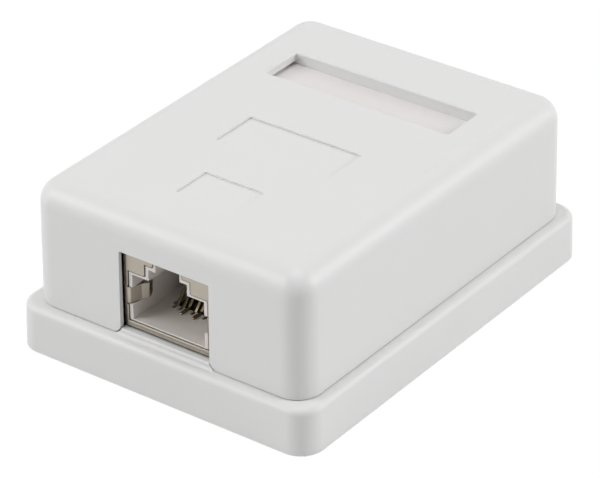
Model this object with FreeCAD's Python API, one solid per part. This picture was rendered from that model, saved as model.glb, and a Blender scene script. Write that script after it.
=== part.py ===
"""Surface mount jack box with one shielded modular port.

The box screws to a wall. Its base is a shallow tray whose rim carries the cover, and the cover lifts
off upwards. Inside, a small circuit board joins the shielded jack at the front to two four-way
insulation displacement blocks, which stand in a folded sheet-metal can with a cable clamp.

Frame: millimetres, +Z up from the wall, +X along the width, -Y towards the plug. The origin is the
centre of the base's underside. Each piece is written to its own STEP file in parts/.
"""
import FreeCAD, Part
import math
import os

V = FreeCAD.Vector

# ---- Standard modular plug opening ----------------------------------------------------------------
plug_width = 11.9
plug_height = 6.85
latch_wide = 6.35            # first step over the plug, for the latch's shoulders
latch_wide_height = 1.65
latch_narrow = 3.95          # second step, for the latch's lever
latch_narrow_height = 1.5
contact_count = 8
contact_pitch = 1.02
contact_width = 0.36
contact_thickness = 0.28
contact_bend = 0.45          # mid-line radius of the contacts' bends
contact_play = 0.08          # contact in its slot, each side

# ---- Jack -----------------------------------------------------------------------------------------
jack_width = 15.7
jack_height = 12.9
jack_depth = 15.6
jack_sheet = 0.25
jack_corner = 1.1            # outer bend at the front corners of the shield
jack_floor = 1.3             # board to the floor of the opening
side_margin = 0.72           # opening of the shield past the plug's, beside it
top_margin = 0.48
bottom_margin = 0.35
step_margin = 0.66
rim_gap = 0.17               # rim of the housing inside the shield's opening
rim_set = 0.1                # rim behind the shield's face
rim_groove = 0.45            # groove round the rim, behind the shield's sheet
opening_corner = 0.12        # corners of the shield's opening
opening_bend = 0.3           # and those that stand into it
seam_height = 0.52           # seam between the two folds of the lower strip, over the board
seam_width = 0.07
seam_depth = 0.12
lip_reach = 2.2              # how far the shield turns under the housing
floor_reach = 6.33           # floor of the opening, from the shield's face
carrier_depth = 2.8          # contact carrier, along Y
carrier_inset = 0.35         # carrier narrower than the plug, each side
carrier_foot = 0.55          # its plate under the contacts, over the board
contact_rest = 6.9           # height over the board at which the contacts enter the carrier
contact_crest = 0.5          # their bend in front of the carrier
contact_dip = 0.325          # free ends of the short contacts under the floor
short_tip = 5.7              # free ends of the short contacts, from the shield's face
long_tip = 4.48              # and of the long ones
leg_first = 0.65             # legs of the contacts, in two rows, from the carrier's front
leg_row = 1.5
pit_margin = 0.2             # pit past the outer contacts' pitch
finger_low = 3.65            # side springs of the shield, over the board
finger_height = 2.35
finger_knee = (0.82, 1.8)    # first bend: in from the sheet's edge, and behind the shield's face
finger_crown = (1.45, 2.75)  # where they stand furthest in
finger_end = (1.1, 3.7)      # free ends, bent back
finger_taper = 0.3           # lower edge of the crown over that of the root
finger_bends = (0.3, 0.25, 0.35)
finger_round = 0.8           # corners of the free ends
finger_window = 0.57         # window past the free end
finger_slit = 0.3            # slits above and below a spring in the front sheet
finger_play = 0.15           # window above and below the spring
tab_width = 1.6              # soldering tabs of the shield
tab_reach = 8.6              # their middle, from the shield's face
tab_hole_gap = 0.18
snap_length = 2.4            # catches of the housing, in windows of the shield's sides
snap_height = 1.4
snap_reach = 11.4            # their middle, from the shield's face
snap_low = 6.0               # over the board
snap_gap = 0.15
piece_gap = 0.05             # between pieces that fit into each other
solder_tail = 0.7            # what comes out under the board

# ---- Board and its furniture ----------------------------------------------------------------------
board_width = 33.6
board_neck = 18.4            # narrower part under the jack
board_nose = 14.6            # its end, inside the shield's width
nose_reach = 5.2             # end of the nose, from the shield's face
board_thickness = 1.6
board_corner = 1.0
board_lift = 1.3             # board over the can's bottom
board_hole = 0.45            # radius of the soldering holes
jack_rise = 1.1              # board's upper face over the ledge
idc_pitch = 3.8
idc_ways = 4
idc_width = 7.0
idc_height = 11.4
idc_end = 1.0                # wall at each end of a block
idc_slot = 1.1               # slot for a wire
idc_slot_depth = 5.2
idc_from_edge = 0.8          # block to the board's edge
idc_plate = 0.5
idc_plate_width = 3.4
idc_plate_rise = 8.6         # top of the contact plate over the board
idc_nip = 0.35               # gap that grips the wire
idc_lead = 0.6               # lead-in of the gap, sideways and down
idc_pin = 0.56

# ---- Can, clamp and screws ------------------------------------------------------------------------
can_sheet = 0.4
can_gap = 0.1                # lid to tray, and lid to jack
can_side = 4.0               # tray's side walls over the board
can_side_gap = 0.15          # board to the tray's side walls
can_overlap = 3.1            # lid's side walls down over the tray's
can_tongue = 2.4             # lid forward over the jack
tongue_inset = 1.0           # narrower than the jack, each side
can_bend = 0.7               # outer bend of the can's folds
jack_can_gap = 0.2
screw_zone = 6.0             # between the can's front and the blocks
clamp_zone = 9.8             # between the blocks and the can's back
cable_radius = 4.1           # inside of the clamp
clamp_sheet = 0.8
clamp_width = 6.0
clamp_rim = 0.4              # foot past the screw's head
clamp_bend = 0.8             # mid-line radius at the feet
hook_length = 4.0            # hooks on the tray that hold the lid
hook_rise = 1.08             # over the lid's lower edge
hook_height = 1.0
hook_stand = 0.35
screw_radius = 1.1
screw_head_radius = 2.0
screw_head_height = 1.4
screw_edge = 2.9             # screw to the board's edge
screw_gap = 0.02             # screw in its pilot hole
screw_pass = 0.2             # screw through board and can
screw_floor = 0.8            # left under the pilot holes
screw_short = 0.3            # screw's tip over the bottom of its hole
clamp_screw_length = 3.2     # under the clamp's foot
boss_radius = 3.2
dimple_slope = 0.8

# ---- Case -----------------------------------------------------------------------------------------
wall = 1.8
floor = 2.0
base_corner = 3.6
base_draft = 1.7             # degrees
ledge_height = 6.9           # rim of the base
ledge_width = 1.59           # what the rim shows outside the cover
ledge_round = 1.05
cover_draft = 0.7            # degrees
cover_corner = 3.75
cover_round = 3.5            # edge round the top
seam_gap = 0.1               # cover's edge over the ledge
fit_gap = 0.15               # spigot inside the cover
spigot_wall = 1.3
spigot_height = 1.8
rim_skin = 1.4               # wall each side of the groove under the rim
face_setback = 0.92          # shield's face behind the cover's front
face_gap = 0.2               # cover's lip in front of the shield
side_room = 0.5              # beside and above the shield, inside the cover
head_room = 2.13             # over the can's lid
cable_bay = 10.62            # between the can and the rear wall
bay_room = 0.2               # board to the jack bay in the base
window_width = 14.8
window_height = 11.6         # over the board
window_foot = 1.4            # round where the window meets the cover's lower edge
window_corner = 0.15
sill_gap = 0.15              # sill under the shield
sill_side_gap = 0.16         # sill inside the window's rounded foot
sill_round = 0.3
sill_foot = 0.5              # blend of the sill into the ledge
entry_clearance = 0.5        # cable entry outside the clamp's radius

# ---- Latches of the cover -------------------------------------------------------------------------
latch_room = 0.9             # can's lid to the latch tongues
tongue_thickness = 1.15
tongue_width = 8.0
tongue_height = 5.6          # over the ledge
tongue_spread = 15.0         # from the middle, along Y
bead_height = 0.9
catch_stand = 0.45           # catch ribs inside the cover
catch_height = 0.7
catch_clear = 0.05           # catch to bead
bead_room = 0.55             # room for the bead, beyond the tongue

# ---- Label, recesses and wall slots ---------------------------------------------------------------
label_length = 30.7
label_width = 7.25
label_edge = 0.3             # round at the window's upper edge
label_from_back = 11.97      # window's rear edge to the cover's rear edge
card_over = 1.4              # card past the window at each end
card_side = 0.65             # card past the window at each side
card_thickness = 0.3
card_relief = 0.55           # room over the card's ends
rail_wall = 0.9
rail_lip = 0.5
rail_gap = 0.1
plaque_length = 18.6
plaque_width = 7.9
plaque_centre = -3.55
plaque_depth = 0.25
recess_length = 9.8
recess_width = 6.45
recess_centre = -18.55
recess_depth = 0.2
slot_radius = 2.1
slot_length = 7.2
slot_inset = 5.45            # from the side of the tray, to a slot's centre
slot_from_front = 6.3        # from the tray's front wall
slot_from_back = 6.3
slot_pad = 1.3               # raised pad round a slot
slot_pad_height = 0.5
knockout_length = 12.0
knockout_width = 6.0
knockout_web = 0.6
recess_corner = 0.3          # corners of the recesses and of the label window
rib = 1.2
sunk = 0.2                   # how far a rib or boss reaches into the wall that carries it


def tan_deg(angle):
    return math.tan(math.radians(angle))


# ---- Derived: heights -----------------------------------------------------------------------------
board_top = ledge_height + jack_rise
board_bottom = board_top - board_thickness
can_floor = board_bottom - board_lift
boss_top = can_floor - can_sheet
jack_top = board_top + jack_height
plug_floor = board_top + jack_floor
plug_top = plug_floor + plug_height
latch_wide_top = plug_top + latch_wide_height
latch_narrow_top = latch_wide_top + latch_narrow_height
lid_inside = jack_top + can_gap
lid_top = lid_inside + can_sheet
tray_top = board_top + can_side
lid_foot = tray_top - can_overlap
cover_edge = ledge_height + seam_gap
cover_inside = lid_top + head_room
cover_top = cover_inside + wall
window_top = board_top + window_height
sill_top = board_top - sill_gap
clamp_axis = board_top + cable_radius

# ---- Derived: widths, from the middle -------------------------------------------------------------
board_side = board_width / 2
tray_inside = board_side + can_side_gap
tray_side = tray_inside + can_sheet
lid_side = tray_side + can_gap + can_sheet
tongue_inside = lid_side + latch_room
tongue_side = tongue_inside + tongue_thickness
cover_inner_x = tongue_side + bead_room + catch_stand
cover_x = cover_inner_x + wall
catch_top = ledge_height + tongue_height - bead_height - catch_clear
catch_x = cover_inner_x - (catch_top - cover_edge) * tan_deg(cover_draft) - catch_stand
bead_x = catch_x - catch_clear
spigot_x = cover_inner_x - fit_gap
tray_x = spigot_x - spigot_wall
ledge_x = cover_x + ledge_width
base_x = ledge_x + ledge_height * tan_deg(base_draft)

# ---- Derived: lengths, from the middle ------------------------------------------------------------
block_length = idc_ways * idc_pitch + 2 * idc_end
can_length = screw_zone + block_length + clamp_zone
cover_length = face_setback + jack_depth + jack_can_gap + can_length + cable_bay + wall
cover_y = cover_length / 2
cover_inner_y = cover_y - wall
spigot_y = cover_inner_y - fit_gap
tray_y = spigot_y - spigot_wall
ledge_y = cover_y + ledge_width
base_y = ledge_y + ledge_height * tan_deg(base_draft)
jack_face = -cover_y + face_setback
jack_back = jack_face + jack_depth
opening_depth = jack_depth - jack_sheet - 3 * piece_gap - carrier_depth
tab_y = jack_face + tab_reach
can_front = jack_back + jack_can_gap
can_back = can_front + can_length
block_front = can_front + screw_zone
block_back = block_front + block_length
front_screws = can_front + screw_zone / 2
clamp_y = can_back - clamp_zone / 2
board_front = jack_face + lip_reach / 2
board_step = can_front - can_sheet
board_back = can_back - can_sheet - can_gap - can_side_gap
bay_front = board_front - bay_room
entry_radius = cable_radius + entry_clearance
label_back = cover_y - label_from_back
label_front = label_back - label_width
block_x = board_side - idc_from_edge - idc_width / 2
screw_x = board_side - screw_edge
hook_low = lid_foot + hook_rise
hook_places = (block_front + idc_pitch, block_back - idc_pitch)
clamp_leg = cable_radius + clamp_sheet / 2
clamp_screw_x = clamp_leg + clamp_bend + screw_head_radius + 2 * piece_gap
slot_x = tray_x - slot_inset
slot_front = -tray_y + slot_from_front
slot_back = tray_y - slot_from_back
contact_x = [(i - (contact_count - 1) / 2) * contact_pitch for i in range(contact_count)]
board_screw_places = [(sx * screw_x, y) for y in (front_screws, clamp_y) for sx in (-1, 1)]
clamp_screw_places = [(sx * clamp_screw_x, clamp_y) for sx in (-1, 1)]


# ---- Building blocks ------------------------------------------------------------------------------
AXES = {"xy": V(0, 0, 1), "xz": V(0, 1, 0), "yz": V(1, 0, 0)}


def box(x0, x1, y0, y1, z0, z1):
    return Part.makeBox(x1 - x0, y1 - y0, z1 - z0, V(x0, y0, z0))


def post(radius, x, y, z0, z1):
    return Part.makeCylinder(radius, z1 - z0, V(x, y, z0))


def rounded_wire(points, radii):
    """Closed wire through the points, each corner rounded with its own radius (0 leaves it sharp)."""
    turns = []
    for i, at in enumerate(points):
        to_last = (points[i - 1] - at).normalize()
        to_next = (points[(i + 1) % len(points)] - at).normalize()
        if radii[i] < 1e-6:
            turns.append((at, None, at))
            continue
        half = to_last.getAngle(to_next) / 2
        reach = radii[i] / math.tan(half)
        centre = at + (to_last + to_next).normalize() * (radii[i] / math.sin(half))
        middle = centre + (at - centre).normalize() * radii[i]
        turns.append((at + to_last * reach, middle, at + to_next * reach))
    edges = []
    for (_, _, leave), (arrive, middle, depart) in zip(turns[-1:] + turns[:-1], turns):
        if leave.distanceToPoint(arrive) > 1e-6:
            edges.append(Part.LineSegment(leave, arrive).toShape())
        if middle is not None:
            edges.append(Part.Arc(arrive, middle, depart).toShape())
    return Part.Wire(edges)


def in_plane(points, plane, level):
    """2-D points placed in the XY, XZ or YZ plane at a level along its normal."""
    place = {
        "xy": lambda a, b: V(a, b, level),
        "xz": lambda a, b: V(a, level, b),
        "yz": lambda a, b: V(level, a, b),
    }[plane]
    return [place(a, b) for a, b in points]


def prism(points, plane, low, high, radius=0.0):
    """Extrusion of a 2-D outline from low to high. radius is one value or one for each corner."""
    radii = radius if isinstance(radius, (list, tuple)) else [radius] * len(points)
    face = Part.Face(rounded_wire(in_plane(points, plane, low), radii))
    return face.extrude(AXES[plane] * (high - low))


def rectangle(half_x, half_y, x=0.0, y=0.0):
    return [(x - half_x, y - half_y), (x + half_x, y - half_y),
            (x + half_x, y + half_y), (x - half_x, y + half_y)]


def ribbon(path, bends, thickness, plane, low, high):
    """Sheet of one thickness that follows a 2-D path, bent to a mid-line radius at its inner points."""
    path = [complex(a, b) for a, b in path]
    sides = {1: [], -1: []}
    for i, point in enumerate(path):
        ahead = path[min(i + 1, len(path) - 1)] - path[min(i, len(path) - 2)]
        behind = path[max(i, 1)] - path[max(i - 1, 0)]
        normals = [1j * ahead / abs(ahead), 1j * behind / abs(behind)]
        mitre = sum(normals) / abs(sum(normals))
        reach = thickness / 2 / (mitre * normals[0].conjugate()).real
        turn = (behind.conjugate() * ahead).imag
        bend = bends[i - 1] if 0 < i < len(path) - 1 else 0.0
        for side, found in sides.items():
            off = point + side * mitre * reach
            inner = math.copysign(thickness / 2, turn * side)
            found.append(((off.real, off.imag), max(bend - inner, 0.0) if bend else 0.0))
    outline = sides[1] + sides[-1][::-1]
    return prism([at for at, _ in outline], plane, low, high, [radius for _, radius in outline])


def drafted(half_x, half_y, corner, low, high, draft):
    """Rounded block that narrows upwards by the draft angle."""
    inset = (high - low) * tan_deg(draft)
    wires = []
    for z, shrink in ((low, 0.0), (high, inset)):
        outline = in_plane(rectangle(half_x - shrink, half_y - shrink), "xy", z)
        wires.append(rounded_wire(outline, [max(corner - shrink, 0.1)] * 4))
    return Part.makeLoft(wires, True, True)


def slot(radius, length, x, y, z0, z1):
    """Upright slot with round ends, along X."""
    return prism(rectangle(length / 2, radius, x, y), "xy", z0, z1, radius)


def edges_at(shape, z):
    return [edge for edge in shape.Edges if all(abs(v.Z - z) < 1e-4 for v in edge.Vertexes)]


def edges_where(shape, test):
    """Edges whose two ends both pass the test."""
    return [edge for edge in shape.Edges if all(test(v.Point) for v in edge.Vertexes)]


def is_upright(edge):
    low, high = sorted(v.Z for v in edge.Vertexes)
    return high - low > 1


def both_sides(solid):
    """The solid and its mirror image across the middle plane X = 0."""
    return [solid, solid.mirror(V(0, 0, 0), V(1, 0, 0))]


# ---- Case -----------------------------------------------------------------------------------------
def sill():
    """Upstand of the base that closes the jack window below the shield, flush with the cover."""
    foot_x = window_width / 2 + window_foot
    foot_z = cover_edge + window_foot
    round_out = window_foot + sill_side_gap
    low = ledge_height - sill_foot
    flared = box(-foot_x, foot_x, -ledge_y, bay_front, low, sill_top)
    for x in (-foot_x, foot_x):
        rounding = Part.makeCylinder(round_out, ledge_y + bay_front, V(x, -ledge_y, foot_z), V(0, 1, 0))
        flared = flared.cut(rounding)
        flared = flared.cut(box(x - round_out, x + round_out, -ledge_y, bay_front, foot_z, window_top))
    rise = sill_top - ledge_height
    front = -cover_y - sill_foot
    outline = [(bay_front, low), (bay_front, sill_top), (-cover_y, sill_top), (-cover_y, ledge_height),
               (front, ledge_height), (front, low)]
    blend = min(sill_foot * 0.98, rise / 2)
    section = prism(outline, "yz", -foot_x, foot_x, [0, 0, min(sill_round, rise / 3), blend, 0, 0])
    return flared.common(section)


def latch_tongue(x_sign, y):
    """Upright tongue of the base, with the bead that the cover's catch snaps over."""
    top = ledge_height + tongue_height
    root = floor - sunk
    outline = [(tongue_inside, root), (tongue_side, root), (tongue_side, top - bead_height),
               (bead_x, top - bead_height * 0.65), (bead_x, top - bead_height * 0.45), (tongue_side, top),
               (tongue_inside, top)]
    return prism([(x_sign * x, z) for x, z in outline], "xz", y - tongue_width / 2, y + tongue_width / 2)


def make_base():
    body = drafted(base_x, base_y, base_corner, 0, ledge_height, base_draft)
    body = body.makeFillet(min(ledge_round, ledge_width * 0.8), edges_at(body, ledge_height))
    spigot_corner = max(cover_corner - wall - fit_gap, 0.3)
    spigot_top = ledge_height + spigot_height
    body = body.fuse(prism(rectangle(spigot_x, spigot_y), "xy", floor, spigot_top, spigot_corner))
    tray_corner = max(spigot_corner - spigot_wall, 0.5)
    body = body.cut(prism(rectangle(tray_x, tray_y), "xy", floor, cover_top, tray_corner))
    # The spigot stops at the jack and at the cable entry.
    neck = board_neck / 2 + bay_room
    body = body.cut(box(-neck, neck, -cover_inner_y, 0, ledge_height, cover_top))
    entry = entry_radius + rib / 2
    body = body.cut(box(-entry, entry, 0, cover_inner_y, ledge_height, cover_top))
    body = body.fuse(sill())
    body = body.cut(box(-neck, neck, bay_front, 0, floor, cover_top))
    # Groove that cores out the rim from below.
    core_top = ledge_height - rim_skin
    outer = drafted(base_x - rim_skin, base_y - rim_skin, base_corner - rim_skin, -1, core_top, base_draft)
    kept = rectangle(tray_x + rim_skin, tray_y + rim_skin)
    inner = prism(kept, "xy", -1, ledge_height, tray_corner + rim_skin)
    island = box(-neck - rim_skin, neck + rim_skin, bay_front - rim_skin, 0, -1, ledge_height)
    body = body.cut(outer.cut(inner.fuse(island)))
    extras = [post(boss_radius, x, y, floor - sunk, boss_top) for x, y in board_screw_places]
    for depth in (board_front + rib, jack_back - jack_depth / 3):
        extras.append(box(-neck, neck, depth - rib / 2, depth + rib / 2, floor - sunk, board_bottom))
    for y in (-tongue_spread, tongue_spread):
        extras += [latch_tongue(sign, y) for sign in (-1, 1)]
    slots = [(sign * slot_x, y) for sign in (-1, 1) for y in (slot_front, slot_back)]
    for x, y in slots:
        reach = slot_length + 2 * slot_pad
        extras.append(slot(slot_radius + slot_pad, reach, x, y, floor - sunk, floor + slot_pad_height))
    body = body.fuse(extras)
    for x, y in board_screw_places:
        body = body.cut(post(screw_radius + screw_gap, x, y, screw_floor, boss_top + 1))
    for x, y in slots:
        body = body.cut(slot(slot_radius, slot_length, x, y, -1, floor + slot_pad_height + 1))
    knockout_y = tray_y - knockout_width / 2 - rib
    knockout = rectangle(knockout_length / 2, knockout_width / 2, 0, knockout_y)
    body = body.cut(prism(knockout, "xy", -1, floor - knockout_web, 1.0))
    return body.removeSplitter()


def make_cover():
    shell = drafted(cover_x, cover_y, cover_corner, cover_edge, cover_top, cover_draft)
    inset = (cover_top - cover_edge) * tan_deg(cover_draft)
    edge_round = min(cover_round, (cover_corner - inset) * 0.99)
    shell = shell.makeFillet(edge_round, edges_at(shell, cover_top))
    inner_corner = max(cover_corner - wall, 0.6)
    hollow = drafted(cover_inner_x, cover_inner_y, inner_corner, cover_edge, cover_inside, cover_draft)
    inner_round = max(min(edge_round - wall, (inner_corner - inset) * 0.98), 0.2)
    hollow = hollow.makeFillet(inner_round, edges_at(hollow, cover_inside))
    shell = shell.cut(hollow)
    # Wall thinned behind the jack window, down to the lower edge, so that the cover lifts over the jack.
    pocket_x = jack_width / 2 + side_room
    shell = shell.cut(box(-pocket_x, pocket_x, jack_face - face_gap, 0, cover_edge - 1, jack_top + side_room))
    # Jack window, rounded out where it meets the lower edge.
    half = window_width / 2
    wide = half + window_foot * 2
    low = cover_edge - window_foot
    window = [(-wide, low), (wide, low), (wide, cover_edge), (half, cover_edge), (half, window_top),
              (-half, window_top), (-half, cover_edge), (-wide, cover_edge)]
    rounds = [0, 0, 0, window_foot, window_corner, window_corner, window_foot, 0]
    shell = shell.cut(prism(window, "xz", -cover_y - 1, -cover_inner_y + 1, rounds))
    # Cable entry in the rear wall.
    entry = [(-entry_radius, low), (entry_radius, low), (entry_radius, clamp_axis + entry_radius),
             (-entry_radius, clamp_axis + entry_radius)]
    shell = shell.cut(prism(entry, "xz", cover_inner_y - 1, cover_y + 1, [0, 0, entry_radius, entry_radius]))
    # Label window, with room over the card's ends and rails that carry the card.
    middle = (label_front + label_back) / 2
    half_length = label_length / 2
    half_width = label_width / 2
    label_window = rectangle(half_length, half_width, 0, middle)
    shell = shell.cut(prism(label_window, "xy", cover_inside - 1, cover_top + 1, recess_corner))
    near = 0.01

    def in_window(edge):
        return all(
            abs(v.X) < half_length + near and abs(v.Y - middle) < half_width + near for v in edge.Vertexes
        )

    brim = [edge for edge in edges_at(shell, cover_top) if in_window(edge)]
    shell = shell.makeFillet(label_edge, brim)
    card_x = half_length + card_over + rail_gap
    card_y = half_width + card_side + rail_gap
    relief = box(-card_x, card_x, middle - half_width, middle + half_width, cover_inside - 1,
                 cover_inside + card_relief)
    rail_low = cover_inside - card_thickness - rail_gap - rail_lip
    rail_y = card_y + rail_wall
    frame = box(-half_length, half_length, middle - rail_y, middle + rail_y, rail_low, cover_inside + sunk)
    bed = rectangle(half_length + 1, card_y, 0, middle)
    frame = frame.cut(prism(bed, "xy", rail_low + rail_lip, cover_inside))
    sight = rectangle(half_length + 1, half_width, 0, middle)
    frame = frame.cut(prism(sight, "xy", rail_low - 1, cover_top))
    shell = shell.fuse(frame).cut(relief)
    # Shallow recesses in the top.
    for length, width, centre, depth in (
        (plaque_length, plaque_width, plaque_centre, plaque_depth),
        (recess_length, recess_width, recess_centre, recess_depth),
    ):
        field = rectangle(length / 2, width / 2, 0, centre)
        shell = shell.cut(prism(field, "xy", cover_top - depth, cover_top + 1, recess_corner))
    # Catch ribs that lie under the beads of the base's tongues.
    low = catch_top - catch_height
    root = cover_inner_x + sunk
    taper = low - catch_stand
    outline = [(catch_x, catch_top), (root, catch_top), (root, taper), (root - sunk, taper), (catch_x, low)]
    catches = []
    for y in (-tongue_spread, tongue_spread):
        catches += both_sides(prism(outline, "xz", y - tongue_width / 2, y + tongue_width / 2))
    return shell.fuse(catches).removeSplitter()


def make_label_card():
    middle = (label_front + label_back) / 2
    outline = rectangle(label_length / 2 + card_over, label_width / 2 + card_side, 0, middle)
    return prism(outline, "xy", cover_inside - card_thickness, cover_inside, 0.4)


# ---- Jack -----------------------------------------------------------------------------------------
def stepped_opening(front, back, side=0.0, top=0.0, bottom=0.0, step=0.0, corner=0.0, bend=0.0):
    """Prism of the plug opening with its two latch steps, grown by the given margins."""
    wide = plug_width / 2 + side
    mid = latch_wide / 2 + step
    narrow = latch_narrow / 2 + step * 0.7
    right = [(wide, plug_floor - bottom), (wide, plug_top + top), (mid, plug_top + top),
             (mid, latch_wide_top + step), (narrow, latch_wide_top + step), (narrow, latch_narrow_top + top)]
    radii = [corner, corner, bend, corner, bend, corner]
    outline = right + [(-x, z) for x, z in reversed(right)]
    return prism(outline, "xz", jack_face + front, jack_face + back, radii + radii[::-1])


def shield_opening(front, back, spare=0.0):
    """Opening of the shield's front sheet, grown by a spare margin."""
    return stepped_opening(front, back, side_margin + spare, top_margin + spare, bottom_margin + spare,
                           step_margin + spare, opening_corner, opening_bend)


def side_finger():
    """Earthing spring: a strip of the front sheet, bent in along the side wall and back at its free end."""
    edge = plug_width / 2 + side_margin
    low = board_top + finger_low
    high = low + finger_height
    sheet_middle = jack_face + jack_sheet / 2
    path = [(edge + finger_slit, sheet_middle), (edge - finger_slit / 2, sheet_middle)]
    path += [(edge - inward, jack_face + depth) for inward, depth in (finger_knee, finger_crown, finger_end)]
    strip = ribbon(path, finger_bends, jack_sheet * 0.9, "xy", low, high)
    end = jack_face + finger_end[1] + jack_sheet
    knee = jack_face + finger_knee[1]
    outline = [(jack_face, low), (knee, low), (end, low + finger_taper), (end, high), (jack_face, high)]
    return strip.common(prism(outline, "yz", 0, jack_width, [0, 0, finger_round, finger_round, 0]))


def make_jack_shield():
    half = jack_width / 2
    outer = box(-half, half, jack_face, jack_back, board_top, jack_top)
    upright = [e for e in edges_where(outer, lambda p: p.y < jack_face + 0.01) if is_upright(e)]
    outer = outer.makeFillet(jack_corner, upright)
    behind = jack_face + jack_corner / 2
    rims = [e for e in edges_at(outer, jack_top)
            if all(abs(v.X) > half - 0.01 for v in e.Vertexes) and any(v.Y > behind for v in e.Vertexes)]
    outer = outer.makeFillet(jack_sheet * 2, [e for e in rims if e.Vertexes[0].X * e.Vertexes[1].X > 0])
    inner = box(-half + jack_sheet, half - jack_sheet, jack_face + jack_sheet, jack_back - jack_sheet,
                board_top + jack_sheet, jack_top - jack_sheet)
    inside_face = jack_face + jack_sheet + 0.01
    upright = [e for e in edges_where(inner, lambda p: p.y < inside_face) if is_upright(e)]
    inner = inner.makeFillet(jack_corner - jack_sheet, upright)
    shield = outer.cut(inner)
    # Open underneath, behind the strip that turns under the housing.
    inside = half - jack_sheet
    shield = shield.cut(box(-inside, inside, jack_face + lip_reach, jack_back - jack_sheet,
                            board_top - 1, board_top + jack_corner))
    shield = shield.cut(shield_opening(-1, jack_sheet + 0.01))
    # The lower strip is folded up from below and meets the front sheet in a seam.
    seam = board_top + seam_height
    seam_x = half - jack_corner
    seam_y = jack_face + seam_depth
    shield = shield.cut(box(-seam_x, seam_x, jack_face - 1, seam_y, seam, seam + seam_width))
    # Each side spring bends in between two slits of the front sheet.
    edge = plug_width / 2 + side_margin
    for low in (finger_low - finger_slit, finger_low + finger_height):
        z = board_top + low
        slit = box(edge - 0.1, edge + finger_slit, jack_face - 1, inside_face, z, z + finger_slit)
        for piece in both_sides(slit):
            shield = shield.cut(piece)
    tail = board_bottom - solder_tail
    tab = box(inside, half, tab_y - tab_width / 2, tab_y + tab_width / 2, tail, board_top + 1)
    z = board_top + snap_low
    y = jack_face + snap_reach
    half_y = snap_length / 2 + snap_gap
    top = z + snap_height + snap_gap
    window = box(half - jack_sheet - 0.1, half + 1, y - half_y, y + half_y, z - snap_gap, top)
    for piece in both_sides(window):
        shield = shield.cut(piece)
    shield = shield.fuse(both_sides(side_finger()) + both_sides(tab))
    return shield.removeSplitter()


def make_jack_housing():
    """Plastic body round the plug, with a rim that stands into the shield's opening."""
    half = jack_width / 2 - jack_sheet - piece_gap
    front = jack_face + jack_sheet + piece_gap
    back = jack_back - jack_sheet - piece_gap
    low = board_top + jack_sheet + piece_gap
    high = jack_top - jack_sheet - piece_gap
    body = box(-half, half, front, back, low, high)
    upright = [e for e in edges_where(body, lambda p: p.y < front + 0.01) if is_upright(e)]
    body = body.makeFillet(jack_corner - jack_sheet, upright)
    rim = shield_opening(rim_set, jack_sheet + rim_groove, -rim_gap)
    groove = shield_opening(jack_sheet, jack_sheet + rim_groove, rim_gap / 2)
    room = box(-half, half, jack_face, back, low, high)
    body = body.cut(groove).fuse(rim.common(room))
    body = body.cut(stepped_opening(0, opening_depth))
    # Chamber for the contact carrier, open at the back and below.
    chamber = plug_width / 2 - carrier_inset
    body = body.cut(box(-chamber, chamber, jack_face + opening_depth - 0.01, back + 1, low - 1, plug_top))
    # Pit under the contacts, behind the floor of the opening, and a comb for their free ends.
    pit = contact_count * contact_pitch / 2 + pit_margin
    pit_front = jack_face + floor_reach
    body = body.cut(box(-pit, pit, pit_front, jack_face + opening_depth, low - 1, plug_floor))
    slot_half = contact_width / 2 + contact_play
    slot_front = jack_face + short_tip - contact_thickness
    slot_floor = plug_floor - contact_dip - contact_thickness / 2 - contact_play
    for number, x in enumerate(contact_x, start=1):
        if is_long(number):
            continue
        comb = box(x - slot_half, x + slot_half, slot_front, pit_front + 0.01, slot_floor, plug_floor + 0.01)
        body = body.cut(comb)
    # Windows in the side walls in which the shield's springs give way to the plug.
    end = jack_face + finger_end[1] + finger_window
    z = board_top + finger_low - finger_play
    top = z + finger_height + 2 * finger_play
    outline = [(jack_face - 1, z), (end, z), (end, top), (jack_face - 1, top)]
    window = prism(outline, "yz", plug_width / 2 - 0.01, jack_width / 2, [0, finger_round, finger_round, 0])
    for piece in both_sides(window):
        body = body.cut(piece)
    # Catches that hold the shield on the housing.
    z = board_top + snap_low
    y = jack_face + snap_reach
    top = z + snap_height
    outline = [(half - sunk, z), (half + jack_sheet, z), (half, top), (half - sunk, top)]
    snap = prism(outline, "xz", y - snap_length / 2, y + snap_length / 2)
    return body.fuse(both_sides(snap)).removeSplitter()


def is_long(number):
    """The third and the fifth contact lie on the floor of the opening with their free ends."""
    return number in (3, 5)


def leg_y(number):
    """Place along Y of a contact's leg: odd and even contacts stand in two rows."""
    return jack_face + opening_depth + leg_first + (0 if number % 2 else leg_row)


def contact_path(number):
    """Mid-line of one contact in the YZ plane: free end, spring length, and leg through the board."""
    rest = board_top + contact_rest
    if is_long(number):
        low = plug_floor + contact_thickness / 2 + contact_play / 4
        tip = long_tip
    else:
        low = plug_floor - contact_dip
        tip = short_tip
    start = jack_face + floor_reach + piece_gap
    crest = jack_face + opening_depth - contact_crest
    leg = leg_y(number)
    tail = board_bottom - solder_tail
    return [(jack_face + tip, low), (start, low), (crest, rest), (leg, rest), (leg, tail)]


def make_contact(number):
    low = contact_x[number - 1] - contact_width / 2
    return ribbon(contact_path(number), [contact_bend] * 3, contact_thickness, "yz", low, low + contact_width)


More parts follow.
